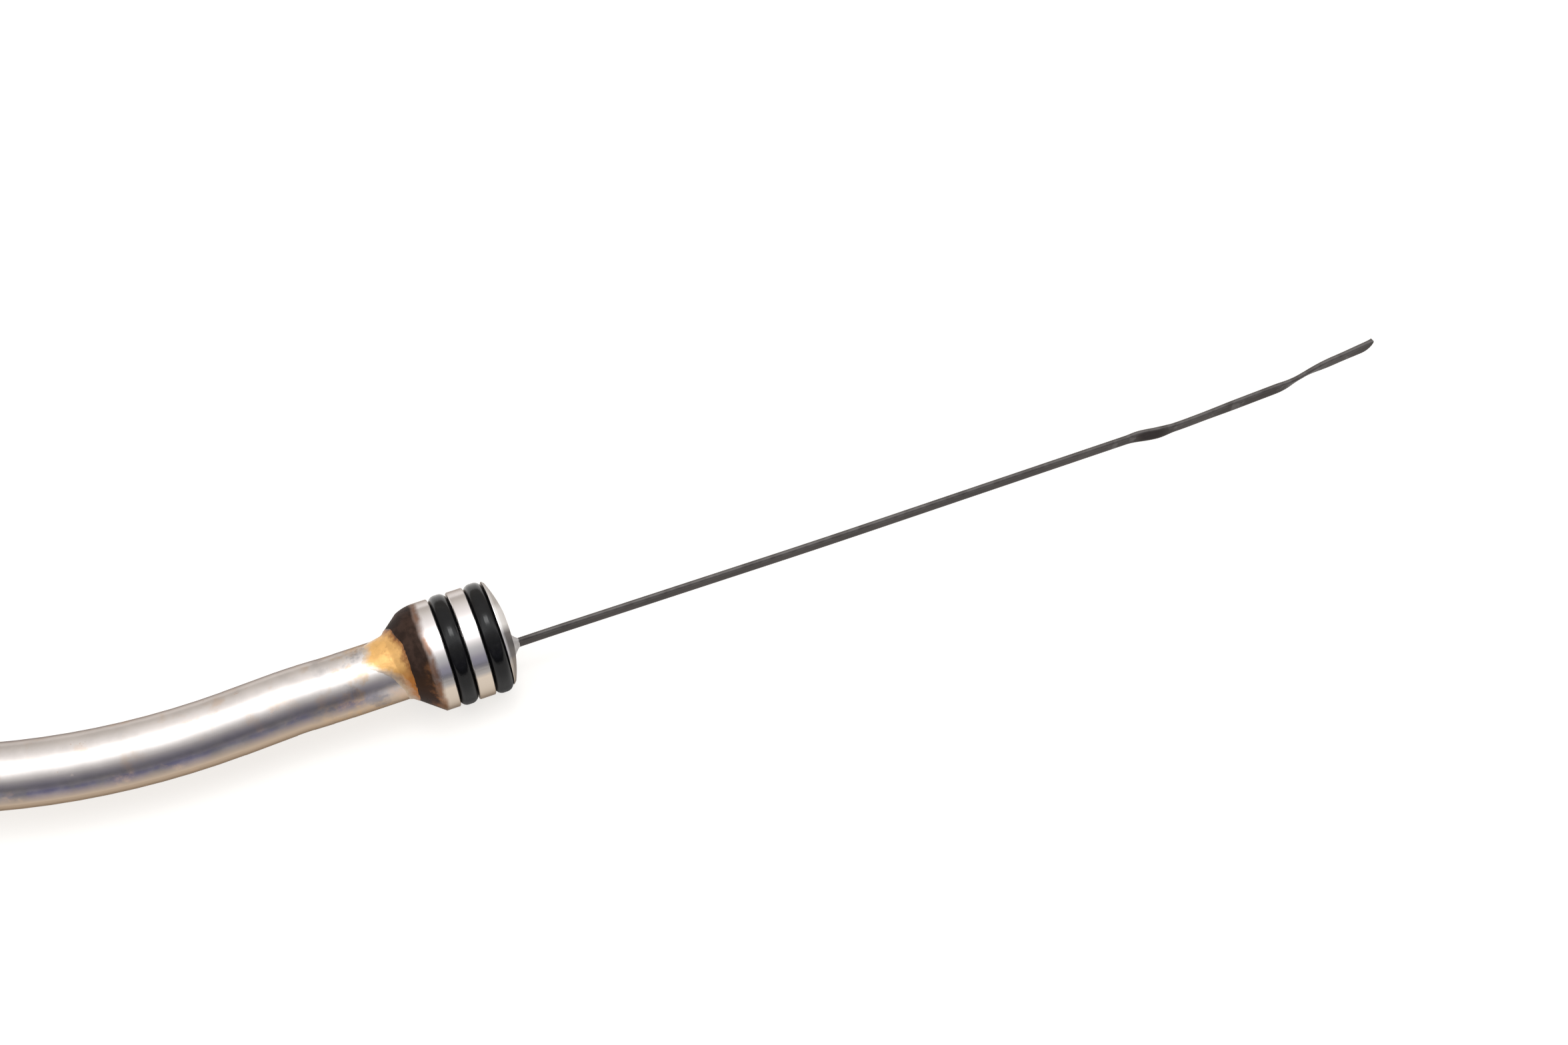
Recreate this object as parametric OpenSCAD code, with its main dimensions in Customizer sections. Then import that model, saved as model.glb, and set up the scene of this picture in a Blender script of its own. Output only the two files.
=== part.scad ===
// Engine oil dipstick in its guide tube, lying on its side as it would on a bench. Millimetres.
// The origin is on the axis of the end fitting, midway between its two seals. +X runs along that
// axis towards the blade's tip, +Z is up, and all bends of the tube lie in the plane z = 0.

/* [End fitting] */
// Radius of the lands that enter the engine block
land_r = 10.15; // [9.6:0.05:12]
// Length of the land behind the rear seal
rear_land = 2.5; // [2:0.1:8]
// Distance between the two seals
seal_pitch = 6.6; // [5.5:0.1:12]
// Thickness of a seal's section
seal_d = 2.8; // [2:0.1:3]
// Width of the flat that wear has left on the top of a seal
seal_flat = 0.65; // [0.3:0.05:1]
// How far a loose seal stands above the lands
seal_proud = 0.2; // [0.1:0.05:0.5]
// Play of a seal along its groove
groove_play = 0.15; // [0.1:0.05:0.6]
// Bevel on the edges of the grooves
groove_bevel = 0.15; // [0.05:0.05:0.3]
// Length of the domed nose in front of the front groove
nose_len = 2; // [1.2:0.1:4]
// Radius of the nose
nose_r = 9.8; // [9:0.05:9.8]
// How far off the axis the nose was turned
nose_shift = 0.3; // [0:0.05:0.35]
// Radius of the dome on the nose
nose_dome_r = 24; // [16:1:60]
// Bevel on the rim of the nose
nose_bevel = 0.4; // [0.2:0.05:0.8]
// Length of the rounded shoulder behind the rear land
shoulder_len = 6.7; // [5:0.1:8]
// Radius of the rounded shoulder
shoulder_r = 8.2; // [8:0.1:10]
// Slope of the shoulder's flatter side, from the axis
flat_slope = 39; // [30:1:45]
// Distance from the shoulder's rear edge at which the flatter side leaves the tube
flat_from = 1.5; // [0.3:0.1:1.8]
// How far off the axis the flatter side was turned
flat_shift = 1; // [0.5:0.1:1.4]
// Radius of the hole through the fitting
fitting_bore_r = 4.5; // [4:0.1:5]
// Depth of the socket that takes the tube
socket_depth = 8.8; // [6:0.1:10]

/* [Guide tube] */
// Outer radius of the tube
tube_r = 6; // [5.6:0.1:6.4]
// Thickness of the tube's wall
tube_wall = 1; // [0.7:0.1:1.2]
// Gap between the tube and its socket
socket_gap = 0.05; // [0.03:0.01:0.1]
// Straight length from the tube's end in the socket
lead_len = 17.8; // [14:0.1:30]
// Small outward set of the tube near the fitting, in degrees
set_out = 1.8; // [0.5:0.1:4]
// Return of that set, in degrees
set_back = 4.2; // [2:0.1:8]
// Length of each of the two small sets
set_len = 4; // [2:0.5:8]
// Straight length between the two small sets
set_gap = 3; // [1:0.5:10]
// Straight length between the sets and the main bend
run_len = 9; // [2:0.5:30]
// Radius of the main bend
bend_r = 127; // [80:1:200]
// Angle of the main bend, in degrees
bend_angle = 36; // [20:1:60]
// Straight length above the main bend
upper_len = 92; // [70:1:200]
// Inner radius of the widened mouth
mouth_r = 7; // [6.4:0.1:8]
// Length of the cone that widens the tube
mouth_cone = 4; // [3:0.5:8]
// Straight length of the widened mouth
mouth_len = 18; // [16:0.5:30]
// Width of the rolled lip
lip_w = 1.2; // [0.8:0.1:1.4]
// Thickness of the rolled lip
lip_t = 1.6; // [1:0.1:2]

/* [Braze at the fitting] */
// Length of the braze along the tube behind the shoulder
braze_len = 2.8; // [1.5:0.1:5]
// Height of the braze over the tube at the shoulder
braze_climb = 0.95; // [0.85:0.05:1.2]
// Thickness of the braze's thin edge on the tube
braze_edge = 0.15; // [0.08:0.01:0.3]

/* [Blade] */
// Height of the flat wire's section
blade_h = 2.3; // [1.8:0.1:2.4]
// Thickness of the flat wire
blade_t = 1; // [0.7:0.1:1.2]
// Length of the blade beyond the fitting's nose
blade_reach = 182.5; // [175:0.1:260]
// Height of the blade's centre line under the axis, where it lies in the fitting
blade_drop = 2.75; // [2:0.05:2.8]
// Sideways place of the blade in the fitting
blade_aside = 1.3; // [0:0.05:1.35]
// Length of the bevel at the tip
tip_len = 2.6; // [1.5:0.1:6]

/* [Collar on the blade] */
// Radius of the collar pressed on the blade
collar_r = 1.42; // [1.38:0.01:1.44]
// Length of the collar's straight body
collar_len = 9; // [5:0.5:12]
// How far the collar's body stands out of the nose
collar_out = 0.2; // [0:0.05:1]
// Length of the collar's tapered end
collar_taper = 0.9; // [0.5:0.1:2]
// Radius at the end of the taper
collar_end_r = 1.24; // [1.22:0.01:1.3]
// Gap between the blade and what grips it
grip_gap = 0.02; // [0.01:0.01:0.05]

/* [Stem] */
// Radius of the stem's body in the tube's mouth
stem_r = 6.75; // [6:0.05:6.85]
// Length of the stem's body
stem_len = 13; // [12:0.5:16]
// Radius of the nose that holds the blade
stem_nose_r = 4; // [3:0.1:4.6]
// Length of that nose
stem_nose_len = 6; // [5:0.5:10]
// Radius of the hole for the blade's end
blade_hole_r = 1.3; // [1.25:0.01:1.6]
// Thickness of a stem seal's section
stem_seal_d = 1.6; // [1.2:0.1:1.8]
// Width of the flat on the top of a stem seal
stem_seal_flat = 0.3; // [0.2:0.05:0.5]
// Distance between the stem's seals
stem_seal_pitch = 5; // [4:0.5:6]
// Radius of the shank moulded into the grip
shank_r = 3; // [2:0.1:4]
// Length of the shank
shank_len = 9; // [5:0.5:12]
// Radius of the cross pin
pin_r = 0.45; // [0.3:0.05:0.6]

/* [Grip] */
// Length of the skirt over the tube's lip
skirt_len = 6; // [4:0.5:10]
// Thickness of the cap over the mouth
cap_t = 5; // [3:0.5:8]
// Gap between the lip and the skirt
skirt_gap = 0.4; // [0.2:0.1:0.6]
// Bevel on the cap's edges
cap_bevel = 1; // [0.5:0.1:1.5]
// Length of the neck
neck_len = 7; // [5:0.5:15]
// Radius of the neck where it meets the cap
neck_r = 7; // [5:0.1:8]
// Radius of the ring's opening
ring_hole_r = 11; // [10:0.5:14]
// Width of the ring
ring_w = 6; // [5:0.5:9]
// Thickness of the ring
ring_t = 9; // [7:0.5:12]
// Radius of the ring's rounded edges
ring_edge = 2; // [1:0.1:2.4]

/* [Mounting bracket] */
// Distance from the end of the main bend to the bracket
bracket_at = 20; // [12:1:50]
// Width of the bracket along the tube
bracket_w = 18; // [14:0.5:24]
// Thickness of the bracket's sheet
bracket_t = 2.5; // [2:0.1:3]
// Distance from the tube's axis to the bolt hole
bracket_reach = 25; // [23:0.5:40]
// Radius of the bolt hole
bolt_hole_r = 4.25; // [3.25:0.25:5.25]
// Angle that the saddle wraps up the tube's side, in degrees
saddle_angle = 65; // [40:1:85]
// Length of the step between the saddle and the foot
joggle_len = 5; // [4:0.5:8]
// Height of the braze between the saddle and the tube
seam_h = 1.8; // [1:0.1:2.4]

/* [Hidden] */

steel = "silver";
rubber = [0.10, 0.10, 0.11];
brass = [0.86, 0.64, 0.34];
wire = [0.30, 0.28, 0.27];
yellow = [0.88, 0.66, 0.12];
round_fn = 96;
clear = 1;              // how far a cutter runs past the face that it opens
seat_gap = 0.02;        // between pieces that touch
lap = 0.3;              // how far a straight stretch of tube runs into its bends
lap_step = 0.03;        // how much thinner the bends are, so that the straights cover them

// End fitting, along X
groove_w = seal_d + seal_flat + groove_play;
seal_r = land_r + seal_proud;                    // outer radius of a loose seal
groove_r = seal_r - seal_d - seat_gap;
seal_x = seal_pitch / 2;
nose_back = seal_x + groove_w / 2;
nose_x = nose_back + nose_len;
shoulder_x = -nose_back - rear_land;
lip_x = shoulder_x - shoulder_len;
socket_x = lip_x + socket_depth;
upper_side = atan2(0.6, 0.8);                    // the fuller side of the fitting, from +Y
floor_z = -seal_r;                               // what the whole part lies on

// Route of the tube from its end in the socket: [length, turn towards +Y in degrees]
tube_x = socket_x - socket_gap;
moves = [[lead_len, 0], [set_len, set_out], [set_gap, 0], [set_len, -set_back], [run_len, 0],
    [bend_r * bend_angle * PI / 180, bend_angle], [upper_len, 0]];
last = len(moves) - 1;

// A pose is [x, y, heading], where heading 0 looks along -X and grows towards +Y
function turn_r(m) = m[0] * 180 / PI / m[1];
function step(p, m) = m[1] == 0
    ? [p.x - m[0] * cos(p[2]), p.y + m[0] * sin(p[2]), p[2]]
    : let (h = p[2] + m[1]) [p.x - turn_r(m) * (sin(h) - sin(p[2])),
        p.y - turn_r(m) * (cos(h) - cos(p[2])), h];
function pose_before(i) = i == 0 ? [tube_x, 0, 0] : step(pose_before(i - 1), moves[i - 1]);
function length_before(i) = i == 0 ? 0 : length_before(i - 1) + moves[i - 1][0];
function move_at(s, i = 0) = i == last || s <= length_before(i + 1) ? i : move_at(s, i + 1);
function pose_at(s) = let (i = move_at(s), part = s - length_before(i), m = moves[i])
    step(pose_before(i), [part, m[1] * part / m[0]]);

tube_len = length_before(last) + upper_len;
mouth_total = mouth_cone + mouth_len + lip_t;
lip_r = mouth_r + tube_wall + lip_w;
cap_r = -floor_z;                                // the cap and the seals touch the same floor

// Stem and seals along the mouth's axis, from the mouth's plane outwards
upper_seal_t = -(stem_len - stem_seal_pitch) / 2;
lower_seal_t = upper_seal_t - stem_seal_pitch;
stem_seal_r = mouth_r - seat_gap;
stem_groove_r = stem_seal_r - stem_seal_d - seat_gap;
stem_groove_w = stem_seal_d + stem_seal_flat + groove_play;
pin_t = -stem_len - stem_nose_len / 2;
ring_r = ring_hole_r + ring_w;
ring_t_at = cap_t + neck_len + ring_r - ring_w;  // ring's centre from the mouth's plane

// Sets a solid, drawn along +X, on the tube's route, looking outwards
module on_route(p) {
    translate([p.x, p.y, 0]) rotate([0, 0, 180 - p[2]]) children();
}
module at_tube_end() {
    on_route(pose_before(last)) translate([upper_len, 0, 0]) children();
}
module at_mouth() {
    at_tube_end() translate([mouth_total, 0, 0]) children();
}
// Turns a profile of [radius, place along X] round the X axis
module turned() {
    rotate([0, 90, 0]) rotate_extrude($fn = round_fn) children();
}
module rod(r, from, to, r2) {
    translate([from, 0, 0]) rotate([0, 90, 0])
        cylinder(r1 = r, r2 = is_undef(r2) ? r : r2, h = to - from, $fn = round_fn);
}

// Guide tube
module straight(r, i) {
    on_route(pose_before(i)) rod(r, i == 0 ? 0 : -lap, moves[i][0] + (i == last ? 0 : lap));
}
module bend(r, i) {
    p = pose_before(i);
    turn = moves[i][1];
    big = turn_r(moves[i]);
    translate([p.x + big * sin(p[2]), p.y + big * cos(p[2]), 0])
        rotate([0, 0, turn > 0 ? 270 - p[2] - turn : 90 - p[2]])
            rotate_extrude(angle = abs(turn), $fn = round_fn)
                translate([abs(big), 0]) circle(r - lap_step, $fn = round_fn);
}
module route(r, wide_r) {
    for (i = [0:last]) if (moves[i][1] == 0) straight(r, i); else bend(r, i);
    at_tube_end() {
        rod(r, 0, mouth_cone, wide_r);
        rod(wide_r, mouth_cone, mouth_total);
    }
}
module guide_tube() color(steel) {
    inner_r = tube_r - tube_wall;
    difference() {
        union() {
            route(tube_r, mouth_r + tube_wall);
            at_mouth() turned() {
                translate([mouth_r + tube_wall, -lip_t / 2]) circle(lip_t / 2, $fn = round_fn);
                translate([mouth_r + tube_wall / 2, -lip_t])
                    square([lip_w + tube_wall / 2 - lip_t / 2, lip_t]);
                translate([lip_r - lip_t / 2, -lip_t / 2]) circle(lip_t / 2, $fn = round_fn);
            }
        }
        route(inner_r, mouth_r);
        at_mouth() rod(mouth_r, -clear, clear);
        rod(inner_r, tube_x - clear, tube_x + clear);
    }
}

// End fitting with its rounded shoulder, flatter on one side, and its domed nose
module fitting_blank() {
    intersection() {
        turned() {
            translate([0, shoulder_x]) intersection() {
                translate([land_r - shoulder_r, 0]) circle(shoulder_r, $fn = round_fn);
                translate([0, -shoulder_len]) square([land_r, shoulder_len + seat_gap]);
            }
            translate([0, shoulder_x]) square([land_r, nose_back - shoulder_x]);
        }
        rotate([upper_side, 0, 0]) translate([0, flat_shift, 0]) union() {
            flat_end = lip_x + flat_from + (land_r - tube_r) / tan(flat_slope);
            rod(tube_r + flat_shift - flat_from * tan(flat_slope), lip_x, flat_end,
                land_r + flat_shift);
            rod(land_r + flat_shift + clear, flat_end, nose_x);
        }
    }
    rotate([upper_side, 0, 0]) translate([0, nose_shift, 0]) turned() intersection() {
        translate([0, nose_x - sqrt(pow(nose_dome_r, 2) - pow(fitting_bore_r, 2))])
            circle(nose_dome_r, $fn = 2 * round_fn);
        polygon([[0, seal_x], [nose_r, seal_x], [nose_r, nose_back + nose_bevel / 4],
            [nose_r - nose_bevel, nose_back + nose_bevel * 5 / 4], [nose_r - nose_bevel,
            nose_x + clear], [0, nose_x + clear]]);
    }
}
// Cutter for a groove at a place x, down to inner_r, with bevelled edges at outer_r
module groove(x, inner_r, outer_r, w) turned() {
    half = w / 2;
    flare = groove_bevel + clear;
    polygon([[inner_r, x - half], [outer_r - groove_bevel, x - half],
        [outer_r + clear, x - half - flare], [outer_r + clear, x + half + flare],
        [outer_r - groove_bevel, x + half], [inner_r, x + half]]);
}
module end_fitting() color(steel) {
    difference() {
        fitting_blank();
        rod(fitting_bore_r, lip_x - clear, nose_x + clear);
        rod(tube_r + socket_gap, lip_x - clear, socket_x);
        for (x = [-seal_x, seal_x]) groove(x, groove_r, land_r, groove_w);
    }
}
module seal(x, outer_r, d, flat) {
    translate([x, 0, 0]) turned() translate([outer_r - d / 2, 0]) {
        square([d, flat], center = true);
        for (side = [-1, 1]) translate([0, side * flat / 2]) circle(d / 2, $fn = 48);
    }
}
module front_seal() color(rubber) seal(seal_x, seal_r, seal_d, seal_flat);
module rear_seal() color(rubber) seal(-seal_x, seal_r, seal_d, seal_flat);

// Braze that fills the corner between the tube and the shoulder
module fitting_braze() color(brass) turned() difference() {
    hollow_r = (pow(braze_len, 2) + pow(braze_climb - braze_edge, 2)) / 2 / (braze_climb - braze_edge);
    translate([tube_r, lip_x - braze_len]) square([braze_climb, braze_len]);
    translate([tube_r + braze_edge + hollow_r, lip_x - braze_len])
        circle(hollow_r, $fn = 2 * round_fn);
}

// Blade: a flat wire with rounded edges, swept from the stem to its tip.
// Bends beyond the nose: [distance from the nose, turn in degrees, length that the turn takes]
blade_bends = [[8.6, -0.45, 6], [60.6, 0.7, 30], [127.2, -9.5, 3], [131.9, 9.7, 4],
    [137.6, 2.15, 6], [161, 10, 4.5], [167.4, -7.1, 5]];
// Twists, in the same way; a positive one leans the upper edge towards +Y
blade_twists = [[127.5, 40, 5], [133.1, -40, 5], [145.6, 10, 8], [161.4, -37, 6.5],
    [168.9, 27, 7], [177.6, 8, 6]];
blade_end_t = pin_t + stem_nose_len / 2 - seat_gap;     // place of the held end, in the stem
held_s = tube_len + mouth_total + blade_end_t;          // the same along the tube's route
inside_step = 7;
twist_step = 1.5;
bevel_steps = 8;
edge_points = 6;

function smooth(t) = t <= 0 ? 0 : t >= 1 ? 1 : t * t * (3 - 2 * t);
function summed(list, d, i = 0) = i == len(list) ? 0
    : list[i][1] * smooth((d - list[i][0]) / list[i][2] + 0.5) + summed(list, d, i + 1);
// Share of its rest in the fitting that the blade has at a place along the tube
function lie(s) = 1 - smooth((s - lead_len) / (held_s - stem_nose_len - lead_len));
// A ring is [x, y, z, heading from +X, lean, share of the bevel passed]
function inside_ring(s) = let (p = pose_at(s), a = blade_aside * lie(s))
    [p.x - a * sin(p[2]), p.y - a * cos(p[2]), -blade_drop * lie(s), -p[2], 0, 0];
inside_count = ceil((held_s - lead_len / 2) / inside_step);
inside_rings = [for (i = [0:inside_count])
    inside_ring(held_s + (lead_len / 2 - held_s) * i / inside_count)];

bevel_at = blade_reach - tip_len;
places = concat([tube_x - nose_x, collar_out + collar_taper, 4.5, 6, 8, 10, 12, 30],
    [for (d = [45:10:115]) d],
    [for (d = [120:twist_step:bevel_at - twist_step / 2]) d],
    [for (i = [0:bevel_steps]) bevel_at + tip_len * sin(90 * i / bevel_steps) * 0.985]);
function outer_point(i) = i == 0 ? [tube_x, -blade_aside]
    : let (h = summed(blade_bends, (places[i] + places[i - 1]) / 2), d = places[i] - places[i - 1])
        outer_point(i - 1) + d * [cos(h), sin(h)];
outer_rings = [for (i = [0:len(places) - 1]) let (p = outer_point(i), d = places[i])
    [p.x, p.y, -blade_drop, summed(blade_bends, d), summed(blade_twists, d),
        max(0, (d - bevel_at) / tip_len)]];

// Section of the wire; the bevel takes away its lower edge
function section(bevel) = let (r = blade_t / 2, top = blade_h / 2 - r, k = 1 - sqrt(1 - bevel * bevel),
        small = bevel > 0.9 ? 1 - 7 * (bevel - 0.9) : 1)
    concat([for (i = [0:edge_points]) let (a = 180 * i / edge_points)
            [r * small * cos(a), top + r * small * sin(a)]],
        [for (i = [0:edge_points]) let (a = 180 + 180 * i / edge_points)
            [r * small * cos(a), top - 2 * top * (1 - k) + r * small * sin(a)]]);
function ring_points(g) = let (
        side = [-sin(g[3]), cos(g[3]), 0],
        flat_axis = side * cos(g[4]) - [0, 0, sin(g[4])],
        tall_axis = side * sin(g[4]) + [0, 0, cos(g[4])])
    [for (q = section(g[5])) [g[0], g[1], g[2]] + q.x * flat_axis + q.y * tall_axis];

module swept(rings) {
    n = 2 * (edge_points + 1);
    count = len(rings);
    points = [for (g = rings) each ring_points(g)];
    sides = [for (i = [0:count - 2], j = [0:n - 1]) let (a = i * n + j, b = i * n + (j + 1) % n)
        each [[a, b, a + n], [b, b + n, a + n]]];
    caps = [[for (j = [0:n - 1]) n - 1 - j], [for (j = [0:n - 1]) (count - 1) * n + j]];
    polyhedron(points, concat(sides, caps), convexity = 8);
}
module blade() color(wire) {
    difference() {
        swept(concat(inside_rings, outer_rings));
        at_mouth() translate([pin_t, 0, 0]) rotate([90, 0, 0])
            cylinder(r = pin_r + grip_gap, h = 4 * blade_t, center = true, $fn = 32);
    }
}

// Collar pressed on the blade, which lies in the fitting's bore
module blade_collar() color(steel) {
    out_x = nose_x + collar_out;
    translate([0, -blade_aside, -blade_drop]) difference() {
        union() {
            rod(collar_r, out_x - collar_len, out_x);
            rod(collar_r, out_x, out_x + collar_taper, collar_end_r);
        }
        wire_r = blade_t / 2 + grip_gap;
        edge_z = blade_h / 2 - blade_t / 2;
        translate([out_x - collar_len - clear, 0, 0]) {
            reach = collar_len + collar_taper + 2 * clear;
            for (side = [-1, 1]) translate([0, 0, side * edge_z]) rod(wire_r, 0, reach);
            translate([0, -wire_r, -edge_z]) cube([reach, 2 * wire_r, 2 * edge_z]);
        }
    }
}

// Stem in the tube's mouth, with its seals and the pin that holds the blade
module stem() color(steel) at_mouth() {
    difference() {
        union() {
            rod(stem_nose_r, -stem_len - stem_nose_len, -stem_len);
            rod(stem_r, -stem_len, -seat_gap);
            rod(shank_r, -seat_gap, shank_len);
        }
        rod(blade_hole_r, -stem_len - stem_nose_len - clear, blade_end_t + 2 * seat_gap);
        for (t = [upper_seal_t, lower_seal_t]) groove(t, stem_groove_r, stem_r, stem_groove_w);
        translate([pin_t, 0, 0]) rotate([90, 0, 0])
            cylinder(r = pin_r + grip_gap, h = 3 * stem_nose_r, center = true, $fn = round_fn);
    }
}
module cross_pin() color(steel) at_mouth() translate([pin_t, 0, 0]) rotate([90, 0, 0])
    cylinder(r = pin_r, h = 2 * stem_nose_r - 4 * seat_gap, center = true, $fn = round_fn);
module upper_stem_seal() color(rubber) at_mouth()
    seal(upper_seal_t, stem_seal_r, stem_seal_d, stem_seal_flat);
module lower_stem_seal() color(rubber) at_mouth()
    seal(lower_seal_t, stem_seal_r, stem_seal_d, stem_seal_flat);

// Moulded grip: a cap over the tube's mouth, a neck and a pull ring
module ring_section() {
    w = ring_w - 2 * ring_edge;
    t = ring_t - 2 * ring_edge;
    translate([ring_hole_r + ring_w / 2, 0]) {
        square([w, ring_t], center = true);
        square([ring_w, t], center = true);
        for (x = [-w / 2, w / 2], y = [-t / 2, t / 2])
            translate([x, y]) circle(ring_edge, $fn = 48);
    }
}
module grip() color(yellow) at_mouth() {
    skirt_r = lip_r + skirt_gap;
    difference() {
        union() {
            turned() polygon([[0, -skirt_len], [cap_r - cap_bevel / 2, -skirt_len],
                [cap_r, -skirt_len + cap_bevel / 2], [cap_r, cap_t - cap_bevel],
                [cap_r - cap_bevel, cap_t], [0, cap_t]]);
            difference() {
                rod(neck_r, cap_t - seat_gap, cap_t + neck_len + ring_w / 2, ring_t / 2 - ring_edge / 2);
                translate([ring_t_at, 0, 0])
                    cylinder(r = ring_hole_r + ring_w / 3, h = ring_t * 2, center = true,
                        $fn = round_fn);
            }
            translate([ring_t_at, 0, 0]) rotate_extrude($fn = round_fn) ring_section();
        }
        rod(skirt_r, -skirt_len - clear, 0);
        rod(shank_r + seat_gap, -clear, shank_len + seat_gap);
    }
}

// Bracket: a stamped strip, shaped as a saddle under the tube, with a foot for one bolt
foot_z = floor_z;
saddle_z = -tube_r - seat_gap - bracket_t;       // underside of the strip below the tube
ear_y = -bracket_reach;
joggle_steps = 10;
flat_y = ear_y + bracket_w / 2 + 1.5;            // where the foot ends and the step begins

module at_bracket() {
    on_route(pose_at(length_before(last) + bracket_at)) mirror([0, 1, 0]) children();
}
module strip_side() {
    ramp = [for (i = [0:joggle_steps]) let (t = i / joggle_steps)
        [flat_y + joggle_len * t, foot_z + (saddle_z - foot_z) * smooth(t)]];
    low = concat([[ear_y - bracket_w, foot_z]], ramp, [[0, saddle_z]]);
    high = [for (i = [len(low) - 1:-1:0]) low[i] + [0, bracket_t]];
    polygon(concat(low, high));
    inner = tube_r + seat_gap;
    intersection() {
        difference() {
            circle(inner + bracket_t, $fn = round_fn);
            circle(inner, $fn = round_fn);
        }
        polygon([[0, 0], [0, -2 * tube_r - bracket_t],
            4 * tube_r * [sin(saddle_angle), -cos(saddle_angle)]]);
    }
}
module across(w) {
    rotate([90, 0, 90]) translate([0, 0, -w / 2]) linear_extrude(w) children();
}
module mounting_bracket() color(steel) at_bracket() difference() {
    intersection() {
        across(bracket_w) strip_side();
        translate([0, 0, foot_z - clear]) linear_extrude(tube_r - foot_z + clear) {
            translate([-bracket_w / 2, ear_y]) square([bracket_w, bracket_reach + 2 * tube_r]);
            translate([0, ear_y]) circle(bracket_w / 2, $fn = round_fn);
        }
    }
    translate([0, ear_y, foot_z - clear])
        cylinder(r = bolt_hole_r, h = bracket_t + 2 * clear, $fn = round_fn);
}
module bracket_braze() color(brass) at_bracket() across(bracket_w) difference() {
    wide = sqrt(pow(tube_r, 2) - pow(tube_r - seam_h, 2));
    translate([-wide - seam_h / 2, saddle_z + bracket_t]) square([wide + seam_h / 2, seam_h]);
    circle(tube_r, $fn = round_fn);
    translate([-wide - seam_h / 2, saddle_z + bracket_t + seam_h]) circle(seam_h, $fn = round_fn);
}

guide_tube();
end_fitting();
fitting_braze();
front_seal();
rear_seal();
blade();
blade_collar();
stem();
cross_pin();
upper_stem_seal();
lower_stem_seal();
grip();
mounting_bracket();
bracket_braze();
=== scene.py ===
"""Finishes, blade, braze and studio of an engine oil dipstick in its guide tube."""

import math

import bmesh
import bpy
import numpy as np
from bpy.props import FloatProperty, FloatVectorProperty, IntProperty, PointerProperty
from bpy.types import Operator, Panel, PropertyGroup
from mathutils import Matrix, Vector, noise


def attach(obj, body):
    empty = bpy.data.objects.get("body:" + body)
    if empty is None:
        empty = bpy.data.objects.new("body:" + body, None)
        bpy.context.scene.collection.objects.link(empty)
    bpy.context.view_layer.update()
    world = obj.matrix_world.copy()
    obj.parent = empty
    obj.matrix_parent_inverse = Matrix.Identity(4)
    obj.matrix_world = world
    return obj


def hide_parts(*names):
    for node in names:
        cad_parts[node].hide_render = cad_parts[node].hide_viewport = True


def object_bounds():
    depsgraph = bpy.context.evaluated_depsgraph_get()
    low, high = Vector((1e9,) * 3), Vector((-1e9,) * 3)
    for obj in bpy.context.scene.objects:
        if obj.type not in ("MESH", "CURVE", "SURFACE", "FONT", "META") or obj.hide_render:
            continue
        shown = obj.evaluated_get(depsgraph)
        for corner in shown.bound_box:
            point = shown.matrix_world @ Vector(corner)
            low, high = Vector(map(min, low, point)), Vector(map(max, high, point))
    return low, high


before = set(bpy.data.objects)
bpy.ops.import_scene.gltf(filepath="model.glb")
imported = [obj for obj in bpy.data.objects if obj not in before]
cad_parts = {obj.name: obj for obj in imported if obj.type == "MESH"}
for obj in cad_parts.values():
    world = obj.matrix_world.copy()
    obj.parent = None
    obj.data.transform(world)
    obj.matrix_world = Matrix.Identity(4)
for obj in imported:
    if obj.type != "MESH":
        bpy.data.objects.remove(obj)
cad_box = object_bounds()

bl_info = {
    "name": "Engine oil dipstick",
    "version": (1, 0, 0),
    "blender": (4, 5, 0),
    "location": "3D View > Sidebar > Dipstick",
    "description": "Finishes of the guide tube, end fitting, blade and grip, with a small studio",
    "category": "Object",
}

MM = 0.001
SHARP_FROM = math.radians(60)

# Lengths are in mm down to the places where the finishes change, and the fitting's axis is the X axis.

# Route of the tube from its end in the fitting, as in the model's source: (length, turn in degrees)
TUBE_START = -5.55
BEND_RADIUS = 127.0
MOVES = [(17.8, 0), (4, 1.8), (3, 0), (4, -4.2), (9, 0), (BEND_RADIUS * math.radians(36), 36), (92, 0)]
LEAD = MOVES[0][0]
MOUTH = 23.6
# End of the blade in the stem, from the mouth's rim, and how far it runs straight from there
HELD_AT = -13.02
STEM_NOSE = 6.0
# Place of the fitting's nose, from which the blade's distances count
FITTING_NOSE = 7.1

# Bends and twists of the blade beyond the nose: (distance, degrees, length that the turn takes)
BENDS = [(8.6, -0.45, 6), (60.6, 0.7, 30), (127.2, -9.5, 3), (131.9, 9.7, 4), (137.6, 2.15, 6),
         (161, 10, 4.5), (167.4, -7.1, 5)]
TWISTS = [(127.5, 40, 5), (133.1, -40, 5), (145.6, 10, 8), (161.4, -37, 6.5), (168.9, 27, 7),
          (177.6, 8, 6)]
# How far the blade reaches beyond the nose, and how far below and beside the axis it leaves the bore
REACH, DROP, ASIDE = 182.42, 2.75, 1.3
# Steps of its path inside the tube, along the first plain stretch, over the twists and to the tip
HIDDEN_STEPS = 120
PLAIN_REACH, PLAIN_STEPS = 115, 60
TWIST_STEP = 0.5
TIP_LENGTH, TIP_CLEAR, TIP_ANGLE, TIP_STEPS = 2.6, 0.7, 0.9, 14
LEAST_STEP = 0.02
# Radius of its rounded edges against its thickness, and the share of the tip that the bevel takes
EDGE_ROUNDING = 0.49
BEVEL_SHARE = 0.985

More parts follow.
